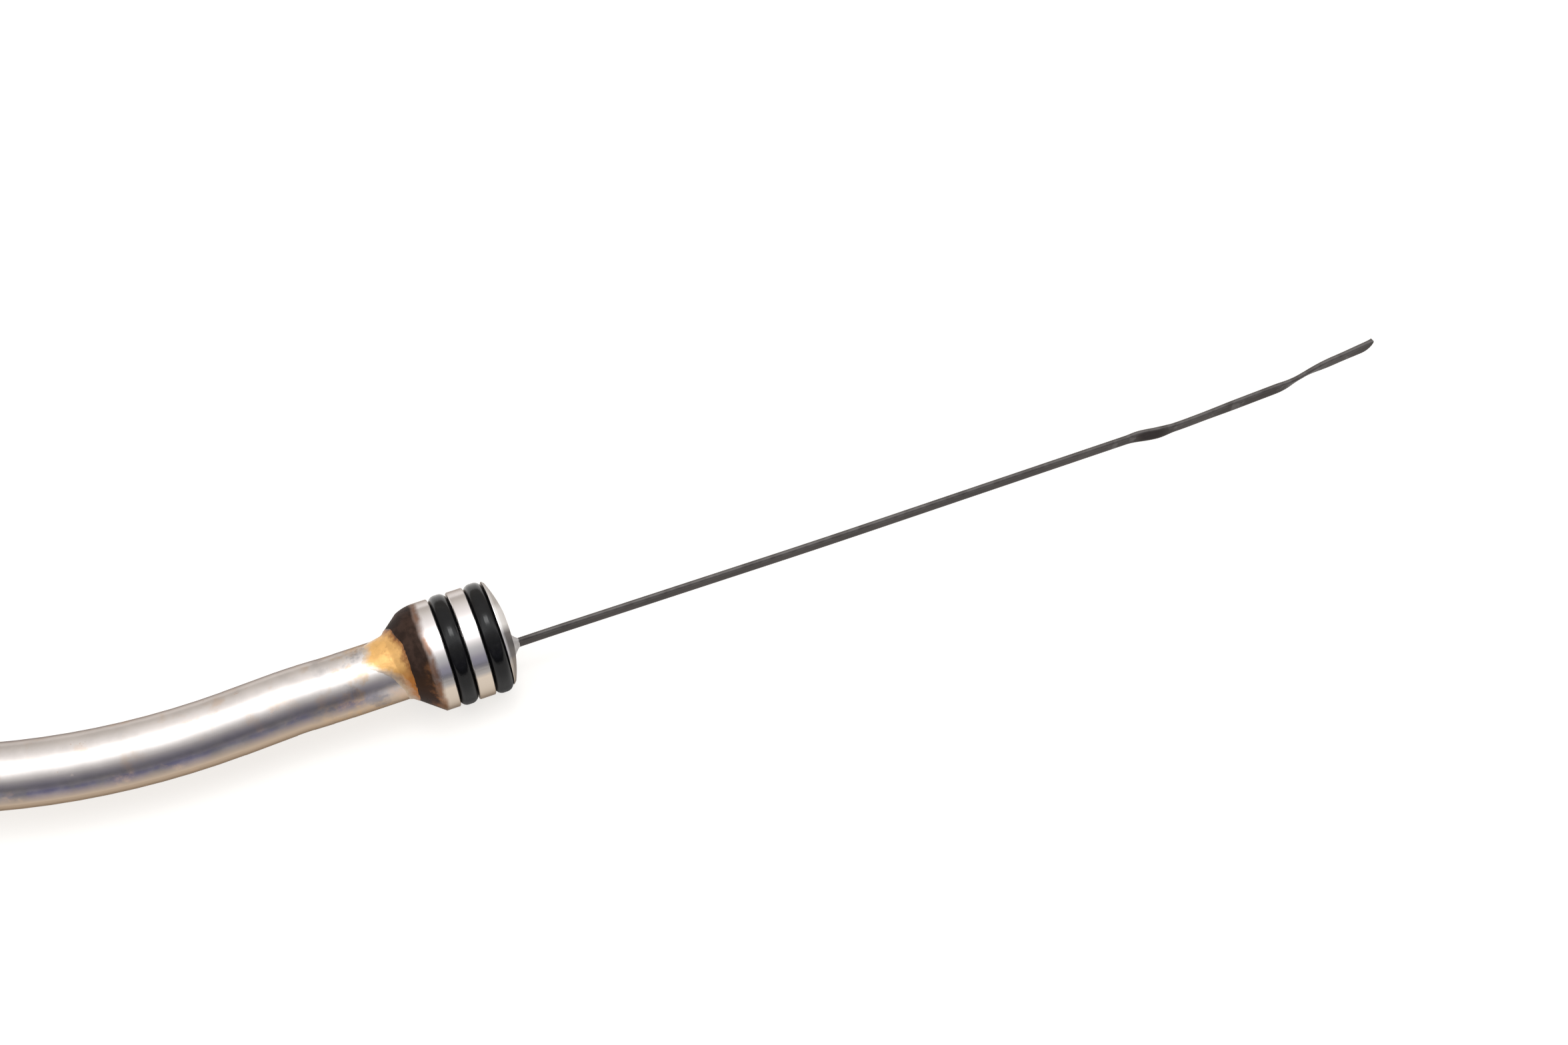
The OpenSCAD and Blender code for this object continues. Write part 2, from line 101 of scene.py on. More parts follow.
# Collar of the blade: start and length, half sizes at the thin end, and its flare at the nose
COLLAR_START, COLLAR_LENGTH = 6.55, 1.95
COLLAR_HEIGHT, COLLAR_THICKNESS = 1.17, 0.53
FLARE_LENGTH, FLARE_HEIGHT, FLARE_THICKNESS, FLARE_CURVE = 1.5, 1.3, 1.6, 1.3
COLLAR_BLUNTNESS = 2.6
COLLAR_COLUMNS, COLLAR_ROWS = 40, 14

# Shoulder of the end fitting: a round one, and a flatter one off the axis
TUBE_RADIUS = 6.0
LIP = -14.3
SHOULDER = -7.6
SHOULDER_RADIUS = 8.2
LAND_RADIUS = 10.15
FULL_SIDE = math.atan2(0.6, 0.8)
FLAT_SHIFT = 1.0
FLAT_SLOPE = math.tan(math.radians(39))
FLAT_START = TUBE_RADIUS + FLAT_SHIFT - 1.5 * FLAT_SLOPE

# How far the braze has run from the shoulder's start, by angle in degrees from +Y
ON_TUBE = [(0, 1.9), (37, 2.8), (60, 3.9), (85, 5.0), (105, 5.0), (122, 2.9), (140, 1.5), (165, 0.8),
           (190, 0.7), (217, 0.7), (290, 1.2), (360, 1.9)]
ON_SHOULDER = [(0, 0.6), (37, 0.5), (58, 1.2), (85, 2.2), (105, 2.6), (125, 2.2), (150, 1.7),
               (180, 1.3), (217, 1.0), (290, 0.6), (360, 0.8)]
BRAZE_COLUMNS, TUBE_ROWS, SHOULDER_ROWS = 224, 18, 10
# Thickness on the shoulder, fullness of the fillet, and how far its underside and its ends are sunk
BRAZE_RISE, BRAZE_CROWN = 0.10, 0.09
BRAZE_DEPTH, BRAZE_SUNK = 0.04, 0.02
# Share by which its two ends wander, how fast they do round the ring, and the waves on its surface
TUBE_WANDER, SHOULDER_WANDER, WANDER_RATE, WANDER_SEED = 0.16, 0.2, 3.1, 7.0
WAVES_ALONG, WAVES_ROUND = 0.8, 5
SEARCH_STEP = 0.02

# Places along the axis in metres over which one finish changes to the next
HEAT_TINTS = (-0.034, -0.018)
DARK_REFLECTION_THINS = (-0.024, -0.016)
WARM_RIM = (-0.0105, -0.0085)
SCALE_END = (-0.0089, -0.0070)
NOSE_START = (0.0048, 0.0056)

# Heights in metres below which a mark of the lower side is full, and above which it ends: painted shade and
# painted reflections on the tube and lands, and rougher rubber on the seals
TUBE_SHADE_BELOW_TOP = (0.0044, 0.0052)
TUBE_DARK_REFLECTION = (0.0026, 0.0046)
TUBE_WARM_REFLECTION = (0.0001, 0.0023)
LAND_GREY_REFLECTION = (0.0047, 0.0054)
LAND_WARM_REFLECTION = (0.0032, 0.0041)
SEAL_BELOW = (-0.002, 0.004)

# Places along Y in metres where the side towards -Y ends
NEAR_SIDE = (-0.0085, -0.0050)

# The same as the heights, along a direction between +Y and up: for the redder lower scale, the painted shade
# of the braze and the painted light and shade of the nose
ACROSS = (0.0, 0.842, 0.539)
SCALE_BELOW = (-0.0040, -0.0010)
BRAZE_BELOW = (-0.0030, 0.0002)
NOSE_BELOW = (-0.0002, 0.0014)
NOSE_LOWEST = (-0.0050, -0.0044)
NOSE_HIGHEST = (0.0042, 0.0055)

# Tints, stains, and painted light, shade and reflections that are no setting of their own
BRIGHT_EDGE = (0.34, 0.30, 0.27)
STEEL_PAINTED_SHADE = (0.56, 0.50, 0.47)
VIOLET_PAINTED_REFLECTION = (0.13, 0.125, 0.205)
OIL_STAIN = (0.66, 0.47, 0.33)
STRAW = (0.66, 0.44, 0.24)
HEAT_BLUE = (0.16, 0.17, 0.21)
LOWER_SCALE_TINT = (0.036, 0.015, 0.006)
RUSTY_SCALE = (0.34, 0.14, 0.05)
SCALE_BORDER = (0.20, 0.085, 0.035)
GREY_PAINTED_REFLECTION = (0.36, 0.34, 0.33)
TAN_PAINTED_REFLECTION = (0.58, 0.50, 0.42)
NOSE_PAINTED_HIGHLIGHT = (0.95, 0.94, 0.93)
NOSE_PAINTED_SHADE = (0.26, 0.255, 0.26)
NOSE_LOWEST_PAINTED_LIGHT = (0.40, 0.37, 0.34)
NOSE_TOP_PAINTED_LIGHT = (0.66, 0.64, 0.62)
BRAZE_PAINTED_SHADE = (0.38, 0.14, 0.026)
THIN_BRAZE = (0.70, 0.60, 0.50)
THIN_BRAZE_PAINTED_SHADE = (0.46, 0.36, 0.26)
BURNT_BRAZE = (0.06, 0.035, 0.025)
RUBBER_DUST = (0.012, 0.012, 0.012)
BARE_STEEL_AND_HIGHLIGHT = (0.16, 0.15, 0.145)

# Light from all round, by angle in degrees from the near horizon over the top to the far one
SKY = [(0, (0.02, 0.02, 0.03)), (8, (0.03, 0.03, 0.05)), (16, (0.26, 0.27, 0.34)),
       (26, (0.24, 0.23, 0.30)), (36, (0.44, 0.44, 0.46)), (46, (0.46, 0.48, 0.50)),
       (56, (0.74, 0.72, 0.71)), (66, (1.09, 1.09, 1.10)), (78, (2.20, 2.22, 2.24)),
       (95, (2.35, 2.40, 2.43)), (110, (1.20, 1.16, 1.14)), (125, (0.98, 0.96, 0.95)),
       (140, (0.86, 0.83, 0.81)), (155, (0.70, 0.67, 0.63)), (170, (0.54, 0.50, 0.46)),
       (180, (0.44, 0.40, 0.37))]
# The colour ramp holds no value above 1, so it is divided by this and the strength multiplied by it
SKY_TOP = 2.6

# Studio, in metres
FLOOR_HALF = 3
FLOOR_GAP = 0.00002
WARM_GLOW = (1, 0.98, 0.95, 1)
LAMP_SIZE = 0.20
LAMP_PLACE, LAMP_TARGET = (0.06, 0.04, 0.75), (0.06, 0.04, 0.0)
CAMERA_LENS, SENSOR_WIDTH = 50, 36
CAMERA_PLACE = (-0.02534, -0.21405, 0.33518)
CAMERA_RIGHT = (0.9272, -0.3746, 0)
CAMERA_UP = (0.3069, 0.7595, 0.5736)
CAMERA_VIEW = (0.2149, 0.5318, -0.8192)


class BladeSettings(PropertyGroup):
    height: FloatProperty(name="Height", description="Height of the flat wire's section",
                          default=2.3 * MM, min=1.8 * MM, max=2.4 * MM, unit="LENGTH", precision=5)
    thickness: FloatProperty(name="Thickness", description="Thickness of the flat wire",
                             default=1.0 * MM, min=0.7 * MM, max=1.2 * MM, unit="LENGTH", precision=5)
    tip: FloatProperty(name="Tip bevel", description="Length of the bevel at the tip",
                       default=2.6 * MM, min=1.5 * MM, max=6 * MM, unit="LENGTH", precision=5)
    edge_points: IntProperty(name="Edge points",
                             description="Points round each rounded edge of the section",
                             default=8, min=4, max=24)
    colour: FloatVectorProperty(name="Colour", description="Dark oiled spring steel",
                                default=(0.052, 0.043, 0.039), size=3, subtype="COLOR", min=0, max=1)


class BrazeSettings(PropertyGroup):
    spread: FloatProperty(name="Spread",
                          description="How far the braze has run, against the photographed part",
                          default=1.0, min=0.5, max=1.3, subtype="FACTOR")
    roughness: FloatProperty(name="Unevenness", description="Height of the waves on the braze",
                             default=0.05 * MM, min=0, max=0.15 * MM, unit="LENGTH", precision=5)
    colour: FloatVectorProperty(name="Colour", description="Clean middle of the braze",
                                default=(0.74, 0.42, 0.135), size=3, subtype="COLOR", min=0, max=1)
    edge_colour: FloatVectorProperty(name="Edge colour", description="Burnt edge of the braze",
                                     default=(0.24, 0.085, 0.018), size=3, subtype="COLOR",
                                     min=0, max=1)


class FinishSettings(PropertyGroup):
    steel: FloatVectorProperty(name="Tube steel", description="Bright drawn tube",
                               default=(0.78, 0.735, 0.71), size=3, subtype="COLOR", min=0, max=1)
    turned: FloatVectorProperty(name="Turned steel", description="Lands and other turned faces",
                                default=(0.85, 0.81, 0.80), size=3, subtype="COLOR", min=0, max=1)
    scale: FloatVectorProperty(name="Heat scale",
                               description="Dark scale that brazing leaves on the shoulder",
                               default=(0.036, 0.021, 0.016), size=3, subtype="COLOR", min=0, max=1)
    rust: FloatVectorProperty(name="Rust", description="Small specks of rust",
                              default=(0.42, 0.22, 0.10), size=3, subtype="COLOR", min=0, max=1)
    # Painted reflection of a warm floor, as tan towards the tube's bottom.
    warm_reflection: FloatVectorProperty(name="Painted_warm_reflection", description="Tan film on the tube's underside",
                              default=(0.50, 0.40, 0.31), size=3, subtype="COLOR", min=0, max=1)
    # Painted reflection of a dark horizon, as a grey-violet band along the tube's lower flanks.
    dark_reflection: FloatVectorProperty(name="Painted_dark_reflection",
                               description="Grey line of grime along the lower flanks of the tube",
                               default=(0.15, 0.145, 0.17), size=3, subtype="COLOR", min=0, max=1)
    rubber: FloatVectorProperty(name="Seal rubber", description="Black seals",
                                default=(0.004, 0.004, 0.0045), size=3, subtype="COLOR", min=0, max=1)
    plastic: FloatVectorProperty(name="Grip plastic", description="Yellow moulded grip",
                                 default=(0.74, 0.44, 0.03), size=3, subtype="COLOR", min=0, max=1)


class StageSettings(PropertyGroup):
    floor: FloatVectorProperty(name="Floor", description="Colour of the floor",
                               default=(0.34, 0.335, 0.33), size=3, subtype="COLOR", min=0, max=1)
    glow: FloatProperty(name="Floor glow",
                        description="What is added to the floor where it is seen or mirrored",
                        default=0.72, min=0, max=1, subtype="FACTOR")
    key: FloatProperty(name="Key lamp", description="Power of the small soft lamp overhead",
                       default=0.85, min=0, max=50, unit="POWER")
    sky: FloatProperty(name="Sky", description="Strength of the light from all round",
                       default=1.0, min=0, max=5)


# Shader node helpers

def node(tree, kind, settings=None, **inputs):
    made = tree.nodes.new(kind)
    for key, value in (settings or {}).items():
        setattr(made, key, value)
    for key, value in inputs.items():
        socket = made.inputs[key.replace("_", " ")]
        if isinstance(value, bpy.types.NodeSocket):
            tree.links.new(value, socket)
        else:
            socket.default_value = value
    return made


def maths(tree, operation, a, b=0.0, clamp=False):
    made = tree.nodes.new("ShaderNodeMath")
    made.operation = operation
    made.use_clamp = clamp
    for socket, value in zip(made.inputs, (a, b)):
        if isinstance(value, bpy.types.NodeSocket):
            tree.links.new(value, socket)
        else:
            socket.default_value = value
    return made.outputs[0]


def blend(tree, mask, a, b):
    made = tree.nodes.new("ShaderNodeMix")
    made.data_type = "RGBA"
    for socket, value in zip((made.inputs[0], made.inputs[6], made.inputs[7]), (mask, a, b)):
        if isinstance(value, bpy.types.NodeSocket):
            tree.links.new(value, socket)
        else:
            socket.default_value = value if isinstance(value, float) else (*value[:3], 1.0)
    return made.outputs[2]


def shared_group(name, inputs, outputs):
    tree = bpy.data.node_groups.new(name, "ShaderNodeTree")
    for label, kind, default in inputs:
        socket = tree.interface.new_socket(label, in_out="INPUT", socket_type=kind)
        if default is not None:
            socket.default_value = default
    for label, kind in outputs:
        tree.interface.new_socket(label, in_out="OUTPUT", socket_type=kind)
    return tree, tree.nodes.new("NodeGroupInput").outputs, tree.nodes.new("NodeGroupOutput").inputs


FLOAT, VECTOR = "NodeSocketFloat", "NodeSocketVector"


def blotches_group():
    """Mask of irregular patches: 0 below Low, 1 above High."""
    tree, given, out = shared_group("Blotches", [
        ("Place", VECTOR, None), ("Size", FLOAT, 0.002), ("Detail", FLOAT, 4.0), ("Seed", FLOAT, 0.0),
        ("Low", FLOAT, 0.5), ("High", FLOAT, 0.6)], [("Mask", FLOAT)])
    waves = node(tree, "ShaderNodeTexNoise", {"noise_dimensions": "4D"}, Vector=given["Place"],
                 W=given["Seed"], Scale=maths(tree, "DIVIDE", 1.0, given["Size"]),
                 Detail=given["Detail"], Roughness=0.6)
    ramp = node(tree, "ShaderNodeMapRange", {"interpolation_type": "SMOOTHSTEP"},
                Value=waves.outputs["Fac"], From_Min=given["Low"], From_Max=given["High"])
    tree.links.new(ramp.outputs["Result"], out["Mask"])
    return tree


def band_group():
    """Mask of a stretch along X with a ragged border: 0 before From, 1 after To."""
    tree, given, out = shared_group("Band along the axis", [
        ("Place", VECTOR, None), ("From", FLOAT, 0.0), ("To", FLOAT, 0.001), ("Wobble", FLOAT, 0.0005),
        ("Wobble size", FLOAT, 0.003), ("Seed", FLOAT, 0.0)], [("Mask", FLOAT)])
    along = node(tree, "ShaderNodeSeparateXYZ", Vector=given["Place"]).outputs["X"]
    waves = node(tree, "ShaderNodeTexNoise", {"noise_dimensions": "4D"}, Vector=given["Place"],
                 W=given["Seed"], Scale=maths(tree, "DIVIDE", 1.0, given["Wobble size"]), Detail=5.0)
    shift = maths(tree, "MULTIPLY", maths(tree, "SUBTRACT", waves.outputs["Fac"], 0.5),
                  maths(tree, "MULTIPLY", given["Wobble"], 2.0))
    ramp = node(tree, "ShaderNodeMapRange", {"interpolation_type": "SMOOTHSTEP"},
                Value=maths(tree, "ADD", along, shift), From_Min=given["From"],
                From_Max=given["To"])
    tree.links.new(ramp.outputs["Result"], out["Mask"])
    return tree


def grain_group():
    """Fine uneven surface, stretched by Stretch: a normal, and a value for roughness."""
    tree, given, out = shared_group("Surface grain", [
        ("Place", VECTOR, None), ("Stretch", VECTOR, (1.0, 1.0, 1.0)), ("Size", FLOAT, 0.0004),
        ("Height", FLOAT, 0.00001)], [("Normal", VECTOR), ("Value", FLOAT)])
    place = node(tree, "ShaderNodeVectorMath", {"operation": "MULTIPLY"})
    tree.links.new(given["Place"], place.inputs[0])
    tree.links.new(given["Stretch"], place.inputs[1])
    fine = node(tree, "ShaderNodeTexNoise", Vector=place.outputs[0],
                Scale=maths(tree, "DIVIDE", 1.0, given["Size"]), Detail=3.0)
    bump = node(tree, "ShaderNodeBump", Strength=1.0, Distance=given["Height"],
                Height=fine.outputs["Fac"])
    tree.links.new(bump.outputs["Normal"], out["Normal"])
    tree.links.new(fine.outputs["Fac"], out["Value"])
    return tree


class Finish:
    """A material with its Principled shader and the shared groups at hand."""

    groups = {}

    def __init__(self, name, viewport):
        self.material = bpy.data.materials.new(name)
        self.material.use_nodes = True
        self.material.diffuse_color = (*viewport, 1.0)
        self.tree = self.material.node_tree
        self.shader = self.tree.nodes["Principled BSDF"]
        self.place = node(self.tree, "ShaderNodeTexCoord").outputs["Object"]

    def group(self, name, **inputs):
        made = node(self.tree, "ShaderNodeGroup", {"node_tree": self.groups[name]}, **inputs)
        if not made.inputs["Place"].is_linked:
            self.tree.links.new(self.place, made.inputs["Place"])
        return made.outputs

    def blotches(self, size, low, high, seed, detail=4.0):
        return self.group("blotches", Size=size, Low=low, High=high, Seed=seed, Detail=detail)["Mask"]

    def band(self, start, end, wobble, wobble_size, seed):
        return self.group("band", From=start, To=end, Wobble=wobble, Wobble_size=wobble_size,
                          Seed=seed)["Mask"]

    def grain(self, size, height, stretch=(1.0, 1.0, 1.0)):
        return self.group("grain", Size=size, Height=height, Stretch=stretch)

    def underside(self, low, high):
        """Mask of what lies lower: 1 below low, 0 above high."""
        height = node(self.tree, "ShaderNodeSeparateXYZ", Vector=self.place).outputs["Z"]
        return self.between(height, 1.0, 0.0, low, high)

    def facing(self, low, high):
        """Mask of the side that ACROSS points away from: 1 below low, 0 above high."""
        made = node(self.tree, "ShaderNodeVectorMath", {"operation": "DOT_PRODUCT"})
        self.tree.links.new(self.place, made.inputs[0])
        made.inputs[1].default_value = ACROSS
        return self.between(made.outputs["Value"], 1.0, 0.0, low, high)

    def near_side(self):
        """Mask of the side towards -Y."""
        across = node(self.tree, "ShaderNodeSeparateXYZ", Vector=self.place).outputs["Y"]
        return self.between(across, 1.0, 0.0, *NEAR_SIDE)

    def attribute(self, name):
        return node(self.tree, "ShaderNodeAttribute", {"attribute_name": name}).outputs["Fac"]

    def both(self, a, b):
        return maths(self.tree, "MULTIPLY", a, b, clamp=True)

    def less(self, a, b):
        return maths(self.tree, "SUBTRACT", a, b, clamp=True)

    def between(self, value, low, high, from_low=0.0, from_high=1.0):
        made = node(self.tree, "ShaderNodeMapRange", Value=value, From_Min=from_low, From_Max=from_high,
                    To_Min=low, To_Max=high)
        return made.outputs["Result"]

    def mix(self, mask, a, b):
        return blend(self.tree, mask, a, b)

    def set(self, **inputs):
        for key, value in inputs.items():
            socket = self.shader.inputs[key.replace("_", " ")]
            if isinstance(value, bpy.types.NodeSocket):
                self.tree.links.new(value, socket)
            elif socket.type == "RGBA":
                socket.default_value = (*value[:3], 1.0)
            else:
                socket.default_value = value
        return self.material


def tinted(colour, factor):
    return tuple(min(1.0, c * factor) for c in colour)


def grey(value):
    return value, value, value


def specks_and_cloud(finish, base, rust, seed):
    """Steel colour with a faint cloud and small specks of rust, and the mask of the specks."""
    cloud = finish.blotches(size=0.006, low=0.35, high=0.7, seed=seed)
    colour = finish.mix(cloud, tinted(base, 1.04), tinted(base, 0.88))
    fields = finish.blotches(size=0.012, low=0.5, high=0.62, seed=seed + 3)
    specks = finish.both(finish.blotches(size=0.0011, low=0.62, high=0.7, seed=seed + 5), fields)
    return finish.mix(finish.both(specks, 0.6), colour, rust), specks


def tube_finish(settings):
    finish = Finish("drawn steel tube", settings.steel)
    colour, specks = specks_and_cloud(finish, settings.steel, settings.rust, 1.0)
    # Painted reflection of a dark horizon: a grey-violet band along the lower flanks, patchy, and fainter near
    # the fitting.
    patchy = finish.between(finish.blotches(size=0.005, low=0.3, high=0.6, seed=14.0), 0.85, 1.0)
    thinning = finish.band(*DARK_REFLECTION_THINS, wobble=0.002, wobble_size=0.006, seed=27.0)
    dark_reflection = finish.both(finish.underside(*TUBE_DARK_REFLECTION), patchy)
    dark_reflection = finish.both(dark_reflection, finish.between(thinning, 1.0, 0.35))
    # Painted shade: the tube's steel darker and browner everywhere below its top.
    colour = finish.mix(finish.both(finish.underside(*TUBE_SHADE_BELOW_TOP), 0.6), colour, STEEL_PAINTED_SHADE)
    violet = finish.both(finish.blotches(size=0.007, low=0.44, high=0.60, seed=15.0), 0.8)
    colour = finish.mix(dark_reflection, colour, finish.mix(violet, settings.dark_reflection, VIOLET_PAINTED_REFLECTION))
    # Painted reflection of the floor: the tube tan towards its bottom.
    colour = finish.mix(finish.underside(*TUBE_WARM_REFLECTION), colour, settings.warm_reflection)
    stain = finish.blotches(size=0.0055, low=0.53, high=0.68, seed=12.0, detail=5.0)
    colour = finish.mix(finish.both(stain, 0.42), colour, OIL_STAIN)
    near = finish.band(*HEAT_TINTS, wobble=0.005, wobble_size=0.006, seed=2.0)
    straw = finish.both(finish.blotches(size=0.0034, low=0.46, high=0.66, seed=4.0), near)
    colour = finish.mix(finish.both(straw, 0.7), colour, STRAW)
    blue = finish.both(finish.blotches(size=0.0040, low=0.52, high=0.70, seed=9.0), near)
    colour = finish.mix(finish.both(blue, 0.6), colour, HEAT_BLUE)
    grain = finish.grain(size=0.0009, height=0.000003)
    rough = finish.between(grain["Value"], 0.30, 0.38)
    rough = finish.mix(specks, rough, grey(0.75))
    return finish.set(Base_Color=colour, Metallic=1.0, Roughness=rough, Normal=grain["Normal"],
                      Specular_Tint=BRIGHT_EDGE)


def bracket_finish(settings):
    finish = Finish("pressed steel bracket", settings.steel)
    colour, specks = specks_and_cloud(finish, tinted(settings.steel, 0.48), settings.rust, 21.0)
    grain = finish.grain(size=0.0009, height=0.000016)
    rough = finish.between(grain["Value"], 0.42, 0.54)
    rough = finish.mix(specks, rough, grey(0.8))
    return finish.set(Base_Color=colour, Metallic=1.0, Roughness=rough, Normal=grain["Normal"])


def fitting_finish(settings):
    finish = Finish("turned steel with heat scale", settings.turned)
    bright = finish.band(*SCALE_END, wobble=0.0006, wobble_size=0.004, seed=3.0)
    rim = finish.band(*WARM_RIM, wobble=0.0012, wobble_size=0.003, seed=6.0)
    rim = finish.both(rim, finish.near_side())
    mottle = finish.blotches(size=0.0022, low=0.4, high=0.65, seed=8.0)
    dark = finish.mix(mottle, tinted(settings.scale, 0.75), tinted(settings.scale, 1.5))
    # The scale redder towards its lower side.
    dark = finish.mix(finish.both(finish.facing(*SCALE_BELOW), 0.8), dark, LOWER_SCALE_TINT)
    warm = finish.both(finish.blotches(size=0.004, low=0.45, high=0.6, seed=11.0), rim)
    dark = finish.mix(finish.both(warm, 0.8), dark, RUSTY_SCALE)
    # Painted reflections on the lands: a grey line low on the near flank, and tan towards the bottom.
    line = finish.both(finish.underside(*LAND_GREY_REFLECTION), finish.near_side())
    land = finish.mix(line, settings.turned, GREY_PAINTED_REFLECTION)
    land = finish.mix(finish.underside(*LAND_WARM_REFLECTION), land, TAN_PAINTED_REFLECTION)
    nose = finish.band(*NOSE_START, wobble=0.0001, wobble_size=0.003, seed=17.0)
    # Painted light and shade on the nose: a highlight on its upper half, shade below, and lighter again at its
    # lowest and highest edges.
    nose_light_and_shade = finish.mix(finish.facing(*NOSE_BELOW), NOSE_PAINTED_HIGHLIGHT, NOSE_PAINTED_SHADE)
    nose_light_and_shade = finish.mix(finish.facing(*NOSE_LOWEST), nose_light_and_shade, NOSE_LOWEST_PAINTED_LIGHT)
    nose_light_and_shade = finish.mix(finish.facing(*NOSE_HIGHEST), NOSE_TOP_PAINTED_LIGHT, nose_light_and_shade)
    colour = finish.mix(bright, dark, finish.mix(nose, land, nose_light_and_shade))
    border = finish.both(finish.both(bright, finish.less(1.0, bright)), 4.0)
    uneven = finish.blotches(size=0.003, low=0.36, high=0.56, seed=19.0)
    border = finish.both(border, finish.between(uneven, 0.35, 0.95))
    colour = finish.mix(finish.both(border, 0.85), colour, SCALE_BORDER)
    turning = finish.grain(size=0.0002, height=0.000004, stretch=(1.0, 0.02, 0.02))
    rough = finish.mix(bright, grey(0.50), grey(0.24))
    rough = finish.mix(nose, rough, grey(0.42))
    metal = finish.between(bright, 0.6, 1.0)
    return finish.set(Base_Color=colour, Metallic=metal, Roughness=rough, Normal=turning["Normal"],
                      Specular_Tint=BRIGHT_EDGE)


def turned_finish(settings):
    finish = Finish("turned steel", settings.turned)
    cloud = finish.blotches(size=0.003, low=0.4, high=0.7, seed=31.0)
    colour = finish.mix(cloud, settings.turned, tinted(settings.turned, 0.8))
    grain = finish.grain(size=0.0003, height=0.000006)
    rough = finish.between(grain["Value"], 0.22, 0.34)
    return finish.set(Base_Color=colour, Metallic=1.0, Roughness=rough, Normal=grain["Normal"])


def collar_finish(settings):
    finish = Finish("rubbed collar", settings.turned)
    cloud = finish.blotches(size=0.002, low=0.4, high=0.7, seed=34.0)
    colour = finish.mix(cloud, tinted(settings.turned, 0.56), tinted(settings.turned, 0.42))
    grain = finish.grain(size=0.0003, height=0.000006)
    rough = finish.between(grain["Value"], 0.45, 0.60)
    return finish.set(Base_Color=colour, Metallic=1.0, Roughness=rough, Normal=grain["Normal"])


def braze_finish(settings, use_edge):
    """Braze with burnt specks, and with use_edge a burnt border, a thin end and a painted shade that makes its
    lower side darker and browner.
    """
    finish = Finish("braze of the fitting" if use_edge else "braze of the bracket", settings.colour)
    cloud = finish.blotches(size=0.0016, low=0.40, high=0.62, seed=41.0)
    colour = finish.mix(cloud, settings.colour, tinted(settings.colour, 0.9))
    burnt = finish.blotches(size=0.0012, low=0.56, high=0.66, seed=44.0)
    grain = finish.grain(size=0.0005, height=0.00003)
    rough = finish.between(grain["Value"], 0.34, 0.52)
    if not use_edge:
        colour = finish.mix(finish.both(burnt, 0.9), colour, settings.edge_colour)
        return finish.set(Base_Color=colour, Metallic=0.35, Roughness=rough, Normal=grain["Normal"])
    waves = finish.blotches(size=0.0014, low=0.3, high=0.7, seed=47.0, detail=5.0)
    waves = finish.between(waves, -0.45, 0.45)
    to_shoulder = maths(finish.tree, "ADD", finish.attribute("from shoulder edge"), waves)
    to_tube = maths(finish.tree, "ADD", finish.attribute("from tube edge"), waves)
    burnt = maths(finish.tree, "MAXIMUM", finish.both(burnt, 0.25),
                  finish.between(to_shoulder, 0.95, 0.0, 0.3, 1.5))
    colour = finish.mix(burnt, colour, settings.edge_colour)
    # Painted shade: the braze darker and browner on its lower side, also where it thins out.
    lower = finish.both(finish.facing(*BRAZE_BELOW), 0.95)
    colour = finish.mix(lower, colour, BRAZE_PAINTED_SHADE)
    thin = finish.between(to_tube, 1.0, 0.0, 0.2, 1.9)
    colour = finish.mix(thin, colour, finish.mix(lower, THIN_BRAZE, THIN_BRAZE_PAINTED_SHADE))
    colour = finish.mix(finish.between(to_shoulder, 0.9, 0.0, -0.1, 0.25), colour, BURNT_BRAZE)
    metal = maths(finish.tree, "MAXIMUM", finish.between(thin, 0.35, 1.0),
                  finish.between(lower, 0.35, 0.85))
    return finish.set(Base_Color=colour, Metallic=metal, Roughness=rough, Normal=grain["Normal"])


def rubber_finish(settings):
    finish = Finish("seal rubber", settings.rubber)
    dust = finish.blotches(size=0.0012, low=0.45, high=0.75, seed=51.0)
    colour = finish.mix(finish.both(dust, 0.5), settings.rubber, RUBBER_DUST)
    grain = finish.grain(size=0.0003, height=0.000008)
    rough = finish.between(grain["Value"], 0.14, 0.20)
    rough = finish.mix(finish.underside(*SEAL_BELOW), rough, grey(0.62))
    return finish.set(Base_Color=colour, Roughness=rough, Normal=grain["Normal"],
                      Specular_IOR_Level=0.23)


def blade_finish(settings):
    finish = Finish("dark spring steel", settings.colour)
    cloud = finish.blotches(size=0.010, low=0.35, high=0.65, seed=61.0)
    colour = finish.mix(cloud, tinted(settings.colour, 0.8), tinted(settings.colour, 1.12))
    # Painted highlight: the top edge of the wire lighter, in streaks; the spots further out are bare steel.
    top_highlight = finish.between(finish.attribute("height"), 0.0, 1.0, 0.45, 0.75)
    streaks = finish.blotches(size=0.0022, low=0.35, high=0.6, seed=64.0)
    rubbed = finish.both(top_highlight, finish.between(streaks, 0.35, 0.9))
    far = finish.between(finish.attribute("along"), 0.0, 1.0, 0.112, 0.124)
    spots = finish.both(finish.blotches(size=0.0030, low=0.54, high=0.66, seed=67.0), far)
    spots = finish.both(spots, 0.8)
    spots_and_highlight = maths(finish.tree, "MAXIMUM", finish.both(rubbed, 0.6), finish.both(spots, 0.7))
    colour = finish.mix(spots_and_highlight, colour, BARE_STEEL_AND_HIGHLIGHT)
    grain = finish.grain(size=0.0004, height=0.00001, stretch=(0.06, 1.0, 1.0))
    rough = finish.between(grain["Value"], 0.42, 0.56)
    return finish.set(Base_Color=colour, Metallic=0.6, Roughness=rough, Normal=grain["Normal"])


